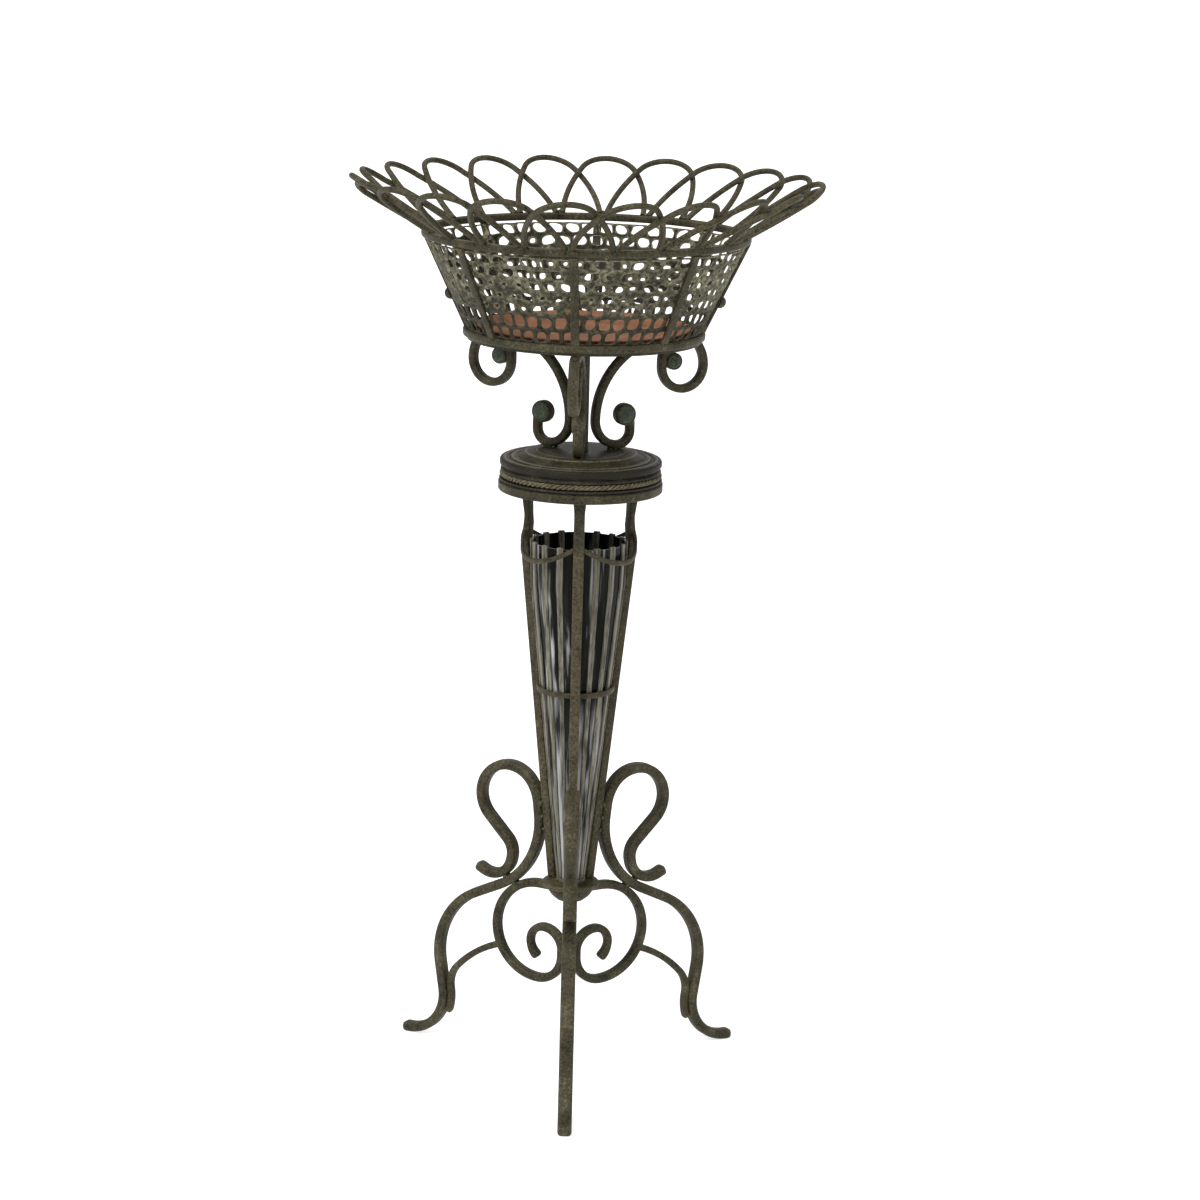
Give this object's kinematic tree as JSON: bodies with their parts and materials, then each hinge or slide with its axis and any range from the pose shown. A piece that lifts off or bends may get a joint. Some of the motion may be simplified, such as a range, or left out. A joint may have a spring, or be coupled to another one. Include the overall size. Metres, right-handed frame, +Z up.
{
  "type": "basket plant stand",
  "caption": "Tall wrought-iron plant stand: a turning pierced basket with an interlaced wire rim on scroll arms, over a slatted vase column and scrolled legs.",
  "frame": {"origin": "on the floor under the middle of the basket", "axes": "+Z up along the column, -Y toward the front leg, +X to the right seen from the front"},
  "size_m": [0.557, 0.554, 1.0969],
  "materials": {
    "patinated_iron": "olive-brown patina with green traces, satin",
    "dark_iron": "dark patina",
    "cast_mesh": "pale grey-green patina, rough",
    "bronzed_slats": "worn bronze patina",
    "dark_panes": "dark and glossy",
    "terracotta": "matt fired clay"
  },
  "bodies": {
    "stand": {"leg_1": "patinated_iron", "leg_2": "patinated_iron", "leg_3": "patinated_iron", "c_scroll_1": "patinated_iron", "c_scroll_2": "patinated_iron", "c_scroll_3": "patinated_iron", "braces": "patinated_iron", "foot_plate": "patinated_iron", "upright_1": "patinated_iron", "upright_2": "patinated_iron", "upright_3": "patinated_iron", "swags": "patinated_iron", "waist_ring": "patinated_iron", "vase_slats": "bronzed_slats", "vase_panes": "dark_panes", "seat_plate": "patinated_iron"},
    "basket": {"spindle": "dark_iron", "spindle_nut": "dark_iron", "drum": "patinated_iron", "rope_moulding": "patinated_iron", "cap_plate": "patinated_iron", "arm_1": "patinated_iron", "arm_2": "patinated_iron", "arm_3": "patinated_iron", "basket_floor": "dark_iron", "bottom_ring": "patinated_iron", "ribs": "patinated_iron", "wall_panel_1": "cast_mesh", "wall_panel_2": "cast_mesh", "wall_panel_3": "cast_mesh", "wall_panel_4": "cast_mesh", "wall_panel_5": "cast_mesh", "wall_panel_6": "cast_mesh", "wall_panel_7": "cast_mesh", "wall_panel_8": "cast_mesh", "top_ring": "patinated_iron", "side_knobs": "patinated_iron", "rim_arch_1": "patinated_iron", "rim_arch_2": "patinated_iron", "rim_arch_3": "patinated_iron", "rim_arch_4": "patinated_iron", "rim_arch_5": "patinated_iron", "rim_arch_6": "patinated_iron", "rim_arch_7": "patinated_iron", "rim_arch_8": "patinated_iron", "rim_arch_9": "patinated_iron", "rim_arch_10": "patinated_iron", "rim_arch_11": "patinated_iron", "rim_arch_12": "patinated_iron", "rim_arch_13": "patinated_iron", "rim_arch_14": "patinated_iron", "rim_arch_15": "patinated_iron", "rim_arch_16": "patinated_iron", "rim_arch_17": "patinated_iron", "rim_arch_18": "patinated_iron", "rim_arch_19": "patinated_iron", "rim_arch_20": "patinated_iron", "rim_arch_21": "patinated_iron", "rim_arch_22": "patinated_iron"},
    "saucer": {"saucer": "terracotta"}
  },
  "joints": [
    {"name": "basket_turn", "type": "hinge", "parent": "stand", "child": "basket", "pos_m": [0, 0, 0.737], "axis": [0, 0, 1], "continuous": true},
    {"name": "saucer_lift", "type": "slide", "parent": "basket", "child": "saucer", "axis": [0, 0, 1], "range_m": [0, 0.2]}
  ]
}
